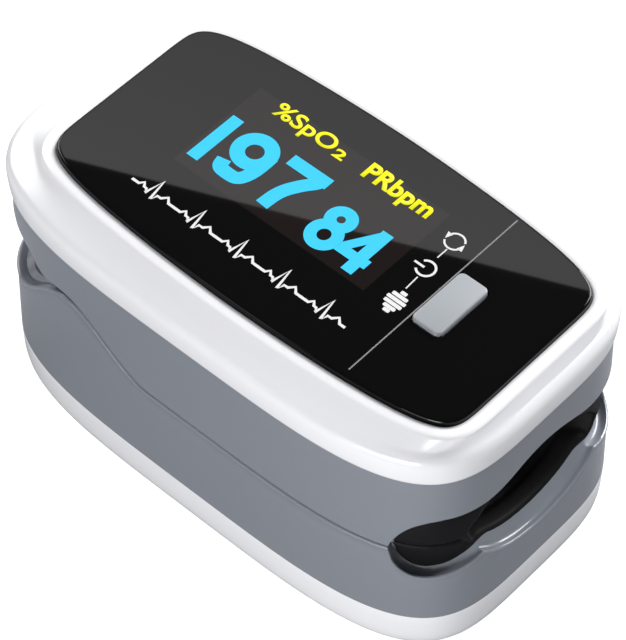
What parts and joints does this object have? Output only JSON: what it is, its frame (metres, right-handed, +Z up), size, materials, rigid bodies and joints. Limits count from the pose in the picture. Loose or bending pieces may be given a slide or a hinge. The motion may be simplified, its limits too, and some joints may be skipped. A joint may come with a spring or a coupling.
{
  "type": "fingertip pulse oximeter",
  "caption": "Fingertip pulse oximeter: two sprung plastic jaws on a hinge pin, with silicone finger pads, a display window, a power button and a sliding battery door.",
  "frame": {"origin": "centre of the underside, on the surface that the closed device stands on", "axes": "+X along the finger, out of the finger opening; +Y across the case; +Z up, towards the display"},
  "size_m": [0.061, 0.0356, 0.033],
  "materials": {
    "case_grey": "satin moulded",
    "case_white": "gloss moulded",
    "window_black": "polished, smoked",
    "display_glass": "dark glass with lit figures",
    "frame_plastic": "moulded",
    "button_grey": "satin moulded",
    "silicone_black": "matte silicone",
    "board_green": "solder mask",
    "chip_black": "moulded epoxy",
    "part_tan": "fired",
    "steel": "drawn and turned",
    "nickel_plate": "nickel plated",
    "cell_jacket": null,
    "lamp_white": "moulded with clear domes",
    "clear_window": "clear moulded",
    "flex_amber": "polyimide film"
  },
  "bodies": {
    "lower_jaw": {"lower_shell": "case_grey", "lower_pad": "silicone_black", "detector_board": "board_green", "photodiode": "chip_black", "detector_window": "clear_window", "bottom_cover": "case_white", "battery_left": "cell_jacket", "battery_right": "cell_jacket", "rear_contact": "nickel_plate", "front_contacts": "nickel_plate", "contact_springs": "nickel_plate", "case_screws": "steel", "hinge_pin": "steel", "torsion_spring_left": "steel", "torsion_spring_right": "steel", "flex_cable": "flex_amber"},
    "upper_jaw": {"top_cover": "case_white", "display_window": "window_black", "display_panel": "display_glass", "display_frame": "frame_plastic", "main_board": "board_green", "main_chip": "chip_black", "board_parts": "part_tan", "tact_switch": "nickel_plate", "buzzer": "chip_black", "board_screws": "steel", "upper_shell": "case_grey", "upper_pad": "silicone_black", "emitter_board": "board_green", "emitter_led": "lamp_white", "emitter_window": "clear_window"},
    "button": {"power_button": "button_grey"},
    "door": {"battery_door": "case_white"}
  },
  "joints": [
    {"name": "jaw_hinge", "type": "hinge", "parent": "lower_jaw", "child": "upper_jaw", "pos_m": [-0.016, 0, 0.0173], "axis": [0, -1, 0], "range_deg": [0, 18], "stiffness_Nm_per_rad": 0.15, "springref_deg": -28.65, "deforming": ["torsion_spring_left", "torsion_spring_right", "flex_cable"]},
    {"name": "button_press", "type": "slide", "parent": "upper_jaw", "child": "button", "axis": [0, 0, -1], "range_m": [0, 0.0004], "stiffness_N_per_m": 400, "springref_m": -0.0006},
    {"name": "door_slide", "type": "slide", "parent": "lower_jaw", "child": "door", "axis": [-1, 0, 0], "range_m": [0, 0.052]}
  ]
}
